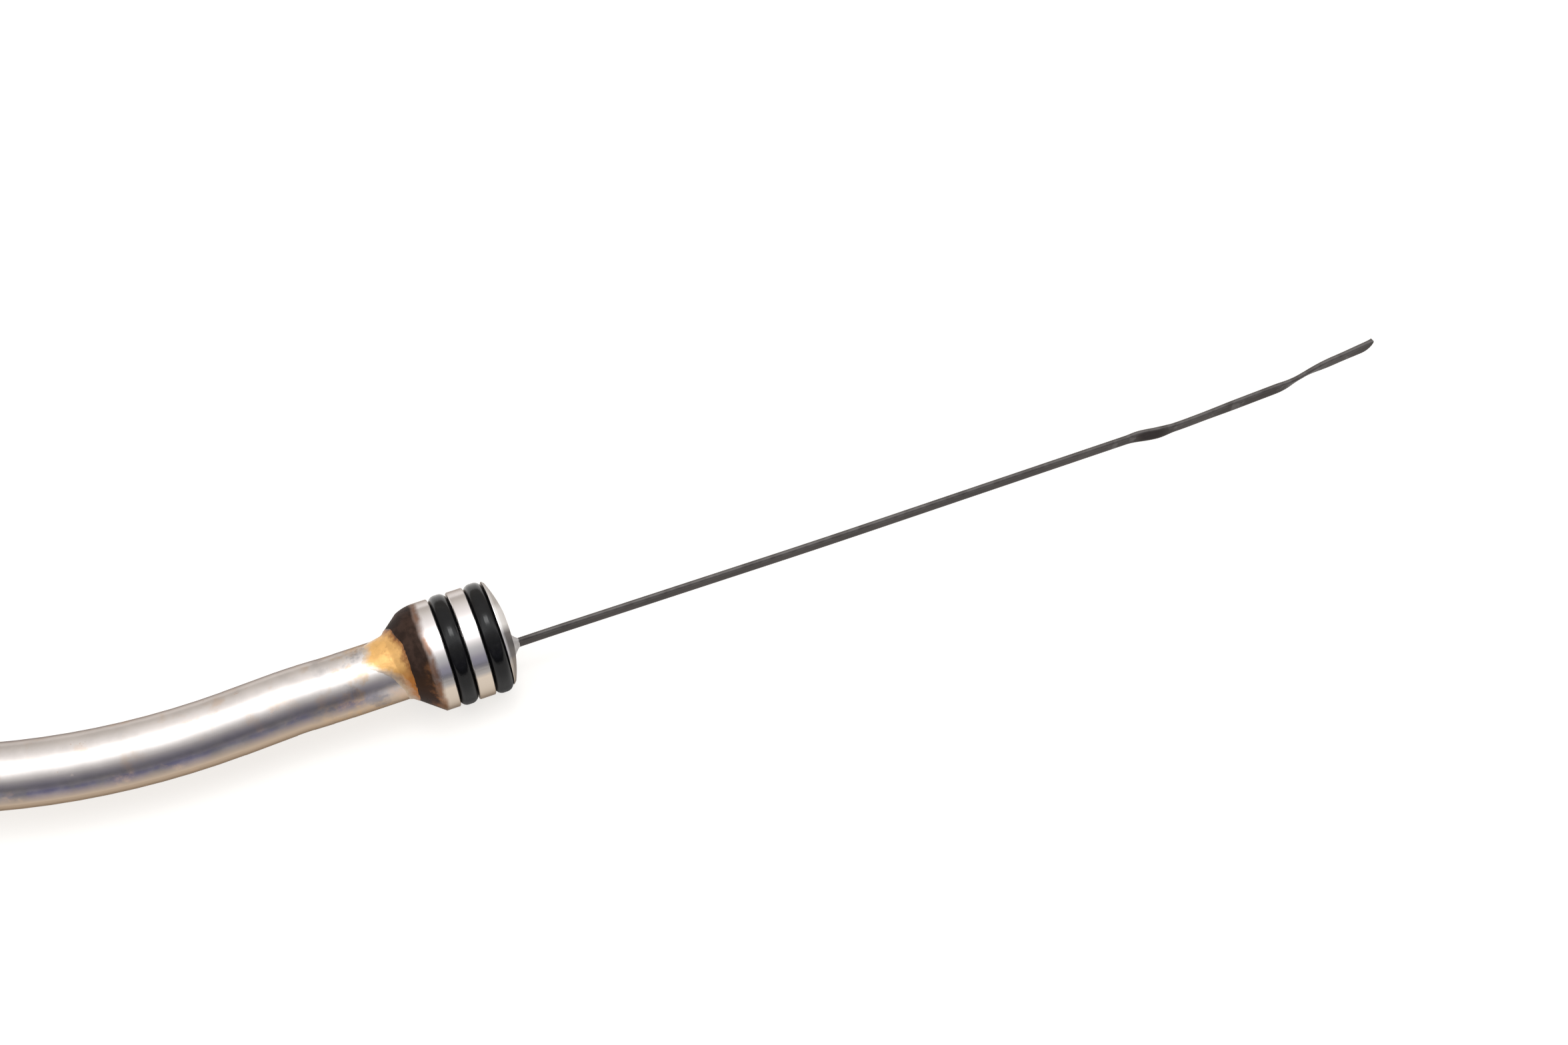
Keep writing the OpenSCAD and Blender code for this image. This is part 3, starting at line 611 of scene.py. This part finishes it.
def plastic_finish(settings):
    finish = Finish("yellow moulded plastic", settings.plastic)
    cloud = finish.blotches(size=0.015, low=0.3, high=0.7, seed=71.0)
    colour = finish.mix(cloud, settings.plastic, tinted(settings.plastic, 0.93))
    scuffs = finish.both(finish.blotches(size=0.0016, low=0.62, high=0.7, seed=74.0), 0.35)
    colour = finish.mix(scuffs, colour, tinted(settings.plastic, 0.7))
    grain = finish.grain(size=0.0006, height=0.000012)
    rough = finish.between(grain["Value"], 0.26, 0.40)
    return finish.set(Base_Color=colour, Roughness=rough, Normal=grain["Normal"])


def paint(material, *names):
    for name in names:
        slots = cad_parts[name].data.materials
        slots.clear()
        slots.append(material)


def new_piece(name, data, material, slot_name, *replaced):
    """Smooth object from a mesh, riding on the one body in place of CAD nodes."""
    piece = bpy.data.objects.new(name, data)
    bpy.context.scene.collection.objects.link(piece)
    data.materials.clear()
    data.materials.append(material)
    for polygon in data.polygons:
        polygon.use_smooth = True
    data.set_sharp_from_angle(angle=SHARP_FROM)
    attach(piece, "root")
    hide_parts(*replaced)


def outwards(data):
    """Turns all faces of a closed mesh outwards."""
    shell = bmesh.new()
    shell.from_mesh(data)
    bmesh.ops.recalc_face_normals(shell, faces=shell.faces)
    shell.to_mesh(data)
    shell.free()


# Blade

def smooth(t):
    """0 below 0 and 1 above 1, with a soft step between."""
    t = min(1.0, max(0.0, t))
    return t * t * (3 - 2 * t)


def turned_by(turns, distance):
    """Degrees that the turns have added up to at a distance beyond the nose."""
    return sum(angle * smooth((distance - at) / length + 0.5) for at, angle, length in turns)


def step(pose, length, turn):
    """Pose (x, y, heading) after a length of the tube that turns evenly, away from the fitting."""
    x, y, heading = pose
    if turn == 0:
        a = math.radians(heading)
        return x - length * math.cos(a), y + length * math.sin(a), heading
    radius = math.degrees(length) / turn
    a, b = math.radians(heading), math.radians(heading + turn)
    return (x - radius * (math.sin(b) - math.sin(a)), y - radius * (math.cos(b) - math.cos(a)),
            heading + turn)


def route_pose(s):
    """Pose of the tube's centre line at a distance from its end in the fitting."""
    pose = (TUBE_START, 0.0, 0.0)
    for i, (length, turn) in enumerate(MOVES):
        if s <= length or i == len(MOVES) - 1:
            return step(pose, s, turn * s / length)
        pose = step(pose, length, turn)
        s -= length


def blade_path():
    """Points of the blade's centre line with its heading, lean and distance beyond the nose, in mm."""
    held = sum(length for length, _ in MOVES) + MOUTH + HELD_AT
    rows = []
    for s in np.linspace(held, LEAD / 2, HIDDEN_STEPS):
        settled = 1 - smooth((s - LEAD) / (held - STEM_NOSE - LEAD))
        x, y, heading = route_pose(s)
        a = math.radians(heading)
        rows.append((x - ASIDE * settled * math.sin(a), y - ASIDE * settled * math.cos(a),
                     -DROP * settled, -heading, 0.0, x - FITTING_NOSE))
    x, y, last = TUBE_START, -ASIDE, TUBE_START - FITTING_NOSE
    plain = np.linspace(last, PLAIN_REACH, PLAIN_STEPS)
    twisted = np.arange(PLAIN_REACH + TWIST_STEP, REACH - TIP_CLEAR, TWIST_STEP)
    tip = REACH - TIP_LENGTH * (1 - np.sin(np.linspace(TIP_ANGLE, np.pi / 2, TIP_STEPS)))
    for d in np.concatenate([plain, twisted, tip]):
        a = math.radians(turned_by(BENDS, (d + last) / 2))
        x, y, last = x + (d - last) * math.cos(a), y + (d - last) * math.sin(a), d
        rows.append((x, y, -DROP, turned_by(BENDS, d), turned_by(TWISTS, d), d))
    kept = [rows[0]]
    for row in rows[1:]:
        if math.dist(row[:3], kept[-1][:3]) > LEAST_STEP:
            kept.append(row)
    return np.array(kept)


def sweep_tree(material):
    """Geometry nodes that sweep the wire's section along its path and bevel the tip."""
    tree = bpy.data.node_groups.new("Flat wire", "GeometryNodeTree")
    ports = tree.interface
    ports.new_socket("Path", in_out="INPUT", socket_type="NodeSocketGeometry")
    for label, default in (("Wire height", 0.0023), ("Wire thickness", 0.001),
                           ("Bevel from", 0.1798), ("Bevel length", 0.0026)):
        socket = ports.new_socket(label, in_out="INPUT", socket_type="NodeSocketFloat")
        socket.default_value = default
    ports.new_socket("Edge points", in_out="INPUT", socket_type="NodeSocketInt").default_value = 8
    ports.new_socket("Wire", in_out="OUTPUT", socket_type="NodeSocketGeometry")
    given = tree.nodes.new("NodeGroupInput").outputs
    out = tree.nodes.new("NodeGroupOutput").inputs

    def stored(name, kind="FLOAT"):
        made = node(tree, "GeometryNodeInputNamedAttribute", {"data_type": kind})
        made.inputs["Name"].default_value = name
        return made.outputs["Attribute"]

    def vector(operation, a, b):
        made = tree.nodes.new("ShaderNodeVectorMath")
        made.operation = operation
        tree.links.new(a, made.inputs[0])
        tree.links.new(b, made.inputs["Scale" if operation == "SCALE" else 1])
        return made.outputs["Value" if operation == "DOT_PRODUCT" else "Vector"]

    position = tree.nodes.new("GeometryNodeInputPosition").outputs[0]
    curve = node(tree, "GeometryNodeMeshToCurve", Mesh=given["Path"]).outputs[0]
    centre = tree.nodes.new("GeometryNodeStoreNamedAttribute")
    centre.data_type = "FLOAT_VECTOR"
    centre.inputs["Name"].default_value = "centre"
    tree.links.new(curve, centre.inputs["Geometry"])
    tree.links.new(position, centre.inputs["Value"])
    upright = tree.nodes.new("GeometryNodeSetCurveNormal")
    tree.links.new(centre.outputs[0], upright.inputs["Curve"])
    upright.mode = "Z_UP"
    tilted = node(tree, "GeometryNodeSetCurveTilt", Curve=upright.outputs[0], Tilt=stored("lean"))
    section = node(tree, "GeometryNodeCurvePrimitiveQuadrilateral", Width=given["Wire thickness"],
                   Height=given["Wire height"])
    rounded = node(tree, "GeometryNodeFilletCurve", {"mode": "POLY"}, Curve=section.outputs[0],
                   Radius=maths(tree, "MULTIPLY", given["Wire thickness"], EDGE_ROUNDING),
                   Count=given["Edge points"])
    swept = node(tree, "GeometryNodeCurveToMesh", Curve=tilted.outputs[0],
                 Profile_Curve=rounded.outputs[0], Fill_Caps=True)
    up = stored("up", "FLOAT_VECTOR")
    height = vector("DOT_PRODUCT", vector("SUBTRACT", position, stored("centre", "FLOAT_VECTOR")), up)
    part = maths(tree, "DIVIDE", maths(tree, "SUBTRACT", stored("along"), given["Bevel from"]),
                 given["Bevel length"], clamp=True)
    part = maths(tree, "MULTIPLY", part, BEVEL_SHARE)
    round_part = maths(tree, "SUBTRACT", 1.0, maths(tree, "MULTIPLY", part, part))
    taken = maths(tree, "SUBTRACT", 1.0, maths(tree, "SQRT", round_part))
    top = maths(tree, "MULTIPLY", given["Wire height"], 0.5)
    lift = maths(tree, "MULTIPLY", maths(tree, "SUBTRACT", top, height), taken)
    level = tree.nodes.new("GeometryNodeStoreNamedAttribute")
    level.data_type = "FLOAT"
    level.inputs["Name"].default_value = "height"
    tree.links.new(swept.outputs[0], level.inputs["Geometry"])
    tree.links.new(maths(tree, "DIVIDE", height, top), level.inputs["Value"])
    moved = node(tree, "GeometryNodeSetPosition", Geometry=level.outputs[0],
                 Offset=vector("SCALE", up, lift))
    real = node(tree, "GeometryNodeRealizeInstances", Geometry=moved.outputs[0])
    finished = node(tree, "GeometryNodeSetMaterial", Geometry=real.outputs[0], Material=material)
    tree.links.new(finished.outputs[0], out["Wire"])
    return tree


def make_blade(settings):
    rows = blade_path()
    data = bpy.data.meshes.new("blade path")
    data.from_pydata((rows[:, :3] * MM).tolist(), [(i, i + 1) for i in range(len(rows) - 1)], [])
    heading, lean = np.radians(rows[:, 3]), np.radians(rows[:, 4])
    side = np.stack([-np.sin(heading), np.cos(heading), np.zeros(len(rows))], axis=1)
    up = side * np.sin(lean)[:, None] + np.array([0, 0, 1.0]) * np.cos(lean)[:, None]
    for name, kind, key, values in (("lean", "FLOAT", "value", -lean),
                                    ("along", "FLOAT", "value", rows[:, 5] * MM),
                                    ("up", "FLOAT_VECTOR", "vector", up)):
        stored = data.attributes.new(name, kind, "POINT").data
        stored.foreach_set(key, values.astype(np.float32).ravel())
    path = bpy.data.objects.new("blade path", data)
    bpy.context.scene.collection.objects.link(path)
    material = blade_finish(settings)
    tree = sweep_tree(material)
    modifier = path.modifiers.new("Flat wire", "NODES")
    modifier.node_group = tree
    sizes = {"Wire height": settings.height, "Wire thickness": settings.thickness,
             "Bevel from": REACH * MM - settings.tip, "Bevel length": settings.tip,
             "Edge points": settings.edge_points}
    for item in tree.interface.items_tree:
        if item.item_type == "SOCKET" and item.name in sizes:
            modifier[item.identifier] = sizes[item.name]
    evaluated = path.evaluated_get(bpy.context.evaluated_depsgraph_get())
    wire = bpy.data.meshes.new_from_object(evaluated)
    bpy.data.objects.remove(path)
    new_piece("smooth_blade", wire, material, "blade_steel", "blade")


# Collar of the blade at the nose

def make_collar(settings):
    """Closed solid round the blade that widens into a foot at the nose."""
    points, columns, rows = [], COLLAR_COLUMNS, COLLAR_ROWS
    for i in range(rows):
        x = COLLAR_START + COLLAR_LENGTH * i / (rows - 1)
        from_end = max(0.0, COLLAR_START + COLLAR_LENGTH - x)
        flare = min(1.0, from_end / FLARE_LENGTH) ** FLARE_CURVE
        height = COLLAR_HEIGHT + FLARE_HEIGHT * flare
        thickness = COLLAR_THICKNESS + FLARE_THICKNESS * flare
        for j in range(columns):
            a = 2 * math.pi * j / columns
            across, up = math.cos(a), math.sin(a)
            blunt = abs(across) ** COLLAR_BLUNTNESS + abs(up) ** COLLAR_BLUNTNESS
            blunt = blunt ** (-1 / COLLAR_BLUNTNESS)
            points.append((x * MM, (thickness * across * blunt - ASIDE) * MM,
                           (height * up * blunt - DROP) * MM))
    faces = [(i * columns + j, i * columns + (j + 1) % columns, (i + 1) * columns + (j + 1) % columns,
              (i + 1) * columns + j) for i in range(rows - 1) for j in range(columns)]
    faces += [tuple(range(columns)), tuple(range((rows - 1) * columns, rows * columns))]
    data = bpy.data.meshes.new("flared collar")
    data.from_pydata(points, [], faces)
    outwards(data)
    new_piece("flared_collar", data, collar_finish(settings), "turned_steel", "blade_collar")


# Braze at the end fitting

def shoulder_radius(x, angle):
    """Radius of the fitting's shoulder in mm, at a place along the axis and an angle from +Y."""
    rise = math.sqrt(max(0.0, SHOULDER_RADIUS ** 2 - (x - SHOULDER) ** 2))
    full = LAND_RADIUS - SHOULDER_RADIUS + rise
    cone = FLAT_START + (x - LIP) * FLAT_SLOPE
    towards = FLAT_SHIFT * math.cos(angle - FULL_SIDE)
    return min(full, towards + math.sqrt(cone ** 2 - FLAT_SHIFT ** 2 + towards ** 2))


def braze_section(angle, settings):
    """Rows (x, radius, distance from the end on the tube, from the end on the shoulder) and the corner's x."""
    degrees = math.degrees(angle) % 360
    across, up = math.cos(angle), math.sin(angle)
    ragged = noise.noise(Vector((across * WANDER_RATE, up * WANDER_RATE, WANDER_SEED)))
    on_tube = np.interp(degrees, *zip(*ON_TUBE)) * settings.spread * (1 + TUBE_WANDER * ragged)
    on_shoulder = np.interp(degrees, *zip(*ON_SHOULDER)) * settings.spread * (1 + SHOULDER_WANDER * ragged)
    start = LIP
    while shoulder_radius(start, angle) < TUBE_RADIUS + BRAZE_RISE:
        start += SEARCH_STEP
    tube_end = Vector((start - on_tube, TUBE_RADIUS))
    bend = Vector((start - 0.25 * min(1.5, on_tube), TUBE_RADIUS + 0.02))
    crest = Vector((start - 0.03, shoulder_radius(start, angle) + BRAZE_RISE))
    rows = []
    for i in range(TUBE_ROWS + 1):
        t = i / TUBE_ROWS
        p = tube_end * (1 - t) ** 2 + bend * 2 * t * (1 - t) + crest * t ** 2
        rows.append((p.x, p.y + BRAZE_CROWN * math.sin(math.pi * t)))
    for i in range(1, SHOULDER_ROWS + 1):
        t = i / SHOULDER_ROWS
        x = start + on_shoulder * t
        rows.append((x, shoulder_radius(x, angle) + BRAZE_RISE * (1 - t) ** 0.6))
    first, last = start - on_tube, start + on_shoulder
    done = []
    for x, radius in rows:
        ends = x - first, last - x
        place = Vector((x * WAVES_ALONG, across * WAVES_ROUND, up * WAVES_ROUND))
        ripple = noise.fractal(place, 0.7, 2.1, 3)
        radius += ripple * settings.roughness / MM * min(1.0, min(ends) * 2)
        done.append((x, radius, *ends))
    done[0] = (first, TUBE_RADIUS - BRAZE_SUNK, *done[0][2:])
    done[-1] = (last, shoulder_radius(last, angle) - BRAZE_SUNK, *done[-1][2:])
    return done, start


def make_braze(settings):
    """Skin of braze that has run both ways from the corner of tube and shoulder, as a closed ring."""
    points, on_tube, on_shoulder = [], [], []
    for j in range(BRAZE_COLUMNS):
        angle = 2 * math.pi * j / BRAZE_COLUMNS
        surface, start = braze_section(angle, settings)
        under = []
        for x, _, from_tube, from_shoulder in surface[-2:0:-3]:
            base = TUBE_RADIUS if x < start else shoulder_radius(x, angle)
            under.append((x, base - BRAZE_DEPTH, from_tube, from_shoulder))
        for x, radius, from_tube, from_shoulder in surface + under:
            points.append((x * MM, radius * math.cos(angle) * MM, radius * math.sin(angle) * MM))
            on_tube.append(from_tube)
            on_shoulder.append(from_shoulder)
    count = len(points) // BRAZE_COLUMNS
    faces = []
    for j in range(BRAZE_COLUMNS):
        here, after = j * count, (j + 1) % BRAZE_COLUMNS * count
        faces += [(here + i, here + (i + 1) % count, after + (i + 1) % count, after + i)
                  for i in range(count)]
    data = bpy.data.meshes.new("flowed braze")
    data.from_pydata(points, [], faces)
    for name, values in (("from tube edge", on_tube), ("from shoulder edge", on_shoulder)):
        data.attributes.new(name, "FLOAT", "POINT").data.foreach_set("value", values)
    outwards(data)
    new_piece("flowed_braze", data, braze_finish(settings, True), "braze", "fitting_braze")


# Stage

def make_floor(settings):
    level = cad_box[0][2] - FLOOR_GAP
    data = bpy.data.meshes.new("floor")
    data.from_pydata([(x * FLOOR_HALF, y * FLOOR_HALF, level)
                      for x, y in ((-1, -1), (1, -1), (1, 1), (-1, 1))], [], [(0, 1, 2, 3)])
    data.materials.append(floor_material(settings))
    floor = bpy.data.objects.new("floor", data)
    bpy.context.scene.collection.objects.link(floor)


def floor_material(settings):
    """Matt floor that keeps the shadow, with a glow that only the camera and reflections see."""
    material = bpy.data.materials.new("pale floor")
    material.use_nodes = True
    tree = material.node_tree
    shader = tree.nodes["Principled BSDF"]
    shader.inputs["Base Color"].default_value = (*settings.floor, 1)
    shader.inputs["Roughness"].default_value = 1.0
    shader.inputs["Specular IOR Level"].default_value = 0.0
    path = node(tree, "ShaderNodeLightPath").outputs
    seen = maths(tree, "ADD", path["Is Camera Ray"], path["Is Glossy Ray"])
    seen = maths(tree, "ADD", seen, path["Is Transmission Ray"], clamp=True)
    shader.inputs["Emission Color"].default_value = WARM_GLOW
    tree.links.new(maths(tree, "MULTIPLY", seen, settings.glow), shader.inputs["Emission Strength"])
    return material


def make_lamp(power):
    data = bpy.data.lights.new("key", "AREA")
    data.shape = "RECTANGLE"
    data.size = data.size_y = LAMP_SIZE
    data.energy = power
    lamp = bpy.data.objects.new("key", data)
    place = Vector(LAMP_PLACE)
    turn = (Vector(LAMP_TARGET) - place).to_track_quat("-Z", "Y").to_matrix().to_4x4()
    lamp.matrix_world = Matrix.Translation(place) @ turn
    bpy.context.scene.collection.objects.link(lamp)


def make_sky(strength):
    """World that lights the object by SKY, and is plain white where the camera sees it."""
    world = bpy.data.worlds.new("studio")
    world.use_nodes = True
    tree = world.node_tree
    direction = node(tree, "ShaderNodeTexCoord").outputs["Object"]
    towards = node(tree, "ShaderNodeSeparateXYZ", Vector=direction).outputs
    angle = maths(tree, "ARCTAN2", towards["Z"], maths(tree, "MULTIPLY", towards["Y"], -1.0))
    ramp = node(tree, "ShaderNodeValToRGB", Fac=maths(tree, "DIVIDE", angle, math.pi, clamp=True))
    stops = ramp.color_ramp.elements
    while len(stops) > 1:
        stops.remove(stops[-1])
    for i, (degrees, colour) in enumerate(SKY):
        stop = stops[0] if i == 0 else stops.new(degrees / 180)
        stop.position = degrees / 180
        stop.color = (*(c / SKY_TOP for c in colour), 1)
    seen = node(tree, "ShaderNodeLightPath").outputs["Is Camera Ray"]
    white = 1 / (strength * SKY_TOP)
    lit = blend(tree, seen, ramp.outputs["Color"], grey(white))
    background = tree.nodes["Background"]
    tree.links.new(lit, background.inputs["Color"])
    background.inputs["Strength"].default_value = strength * SKY_TOP
    bpy.context.scene.world = world


def make_camera():
    data = bpy.data.cameras.new("camera")
    data.lens = CAMERA_LENS
    data.sensor_width = SENSOR_WIDTH
    data.sensor_fit = "HORIZONTAL"
    data.clip_start = 0.01
    data.clip_end = 20
    camera = bpy.data.objects.new("camera", data)
    axes = Vector(CAMERA_RIGHT), Vector(CAMERA_UP), -Vector(CAMERA_VIEW)
    place = Matrix(axes).transposed().to_4x4()
    place.translation = Vector(CAMERA_PLACE)
    camera.matrix_world = place
    bpy.context.scene.collection.objects.link(camera)
    bpy.context.scene.camera = camera


def make_stage(settings):
    make_floor(settings)
    make_lamp(settings.key)
    make_sky(settings.sky)
    bpy.context.scene.view_settings.view_transform = "Standard"
    make_camera()


# Operators

class DIPSTICK_OT_tube(Operator):
    """Finish the guide tube and its bracket"""
    bl_idname = "dipstick.tube"
    bl_label = "Guide tube and bracket"

    def execute(self, context):
        paint(tube_finish(context.scene.dipstick_finish), "guide_tube")
        paint(bracket_finish(context.scene.dipstick_finish), "mounting_bracket")
        paint(braze_finish(context.scene.dipstick_braze, False), "bracket_braze")
        return {"FINISHED"}


class DIPSTICK_OT_fitting(Operator):
    """Finish the end fitting and its two seals"""
    bl_idname = "dipstick.fitting"
    bl_label = "End fitting and seals"

    def execute(self, context):
        paint(fitting_finish(context.scene.dipstick_finish), "end_fitting")
        paint(rubber_finish(context.scene.dipstick_finish), "front_seal", "rear_seal",
              "upper_stem_seal", "lower_stem_seal")
        return {"FINISHED"}


class DIPSTICK_OT_braze(Operator):
    """Build the braze that has flowed round the tube at the fitting"""
    bl_idname = "dipstick.braze"
    bl_label = "Braze at the fitting"

    def execute(self, context):
        make_braze(context.scene.dipstick_braze)
        return {"FINISHED"}


class DIPSTICK_OT_blade(Operator):
    """Sweep the blade's flat wire along its path"""
    bl_idname = "dipstick.blade"
    bl_label = "Blade"

    def execute(self, context):
        make_blade(context.scene.dipstick_blade)
        return {"FINISHED"}


class DIPSTICK_OT_stem(Operator):
    """Finish the stem and its pin, and build the blade's collar"""
    bl_idname = "dipstick.stem"
    bl_label = "Stem, pin and collar"

    def execute(self, context):
        paint(turned_finish(context.scene.dipstick_finish), "stem", "cross_pin")
        make_collar(context.scene.dipstick_finish)
        return {"FINISHED"}


class DIPSTICK_OT_grip(Operator):
    """Finish the moulded grip"""
    bl_idname = "dipstick.grip"
    bl_label = "Grip"

    def execute(self, context):
        paint(plastic_finish(context.scene.dipstick_finish), "grip")
        return {"FINISHED"}


class DIPSTICK_OT_stage(Operator):
    """Set up the floor, lamp, sky and camera"""
    bl_idname = "dipstick.stage"
    bl_label = "Stage"

    def execute(self, context):
        make_stage(context.scene.dipstick_stage)
        return {"FINISHED"}


class DIPSTICK_PT_panel(Panel):
    """Steps that dress the dipstick, with their settings"""
    bl_idname = "DIPSTICK_PT_panel"
    bl_label = "Engine oil dipstick"
    bl_space_type = "VIEW_3D"
    bl_region_type = "UI"
    bl_category = "Dipstick"

    def draw(self, context):
        for operator in OPERATORS:
            self.layout.operator(operator.bl_idname)
        for name in SETTINGS:
            group = getattr(context.scene, name)
            box = self.layout.box()
            for key in group.bl_rna.properties.keys():
                if key not in {"rna_type", "name"}:
                    box.prop(group, key)


OPERATORS = [DIPSTICK_OT_tube, DIPSTICK_OT_fitting, DIPSTICK_OT_braze, DIPSTICK_OT_blade,
             DIPSTICK_OT_stem, DIPSTICK_OT_grip, DIPSTICK_OT_stage]
SETTINGS = {"dipstick_blade": BladeSettings, "dipstick_braze": BrazeSettings,
            "dipstick_finish": FinishSettings, "dipstick_stage": StageSettings}


def register():
    for made in [*SETTINGS.values(), *OPERATORS, DIPSTICK_PT_panel]:
        bpy.utils.register_class(made)
    for name, kind in SETTINGS.items():
        setattr(bpy.types.Scene, name, PointerProperty(type=kind))


def unregister():
    for name in SETTINGS:
        delattr(bpy.types.Scene, name)
    for made in [DIPSTICK_PT_panel, *OPERATORS, *SETTINGS.values()]:
        bpy.utils.unregister_class(made)


def main():
    register()
    Finish.groups = {"blotches": blotches_group(), "band": band_group(), "grain": grain_group()}
    bpy.ops.dipstick.tube()
    bpy.ops.dipstick.fitting()
    bpy.ops.dipstick.braze()
    bpy.ops.dipstick.blade()
    bpy.ops.dipstick.stem()
    bpy.ops.dipstick.grip()
    bpy.ops.dipstick.stage()


if __name__ == "__main__":
    main()
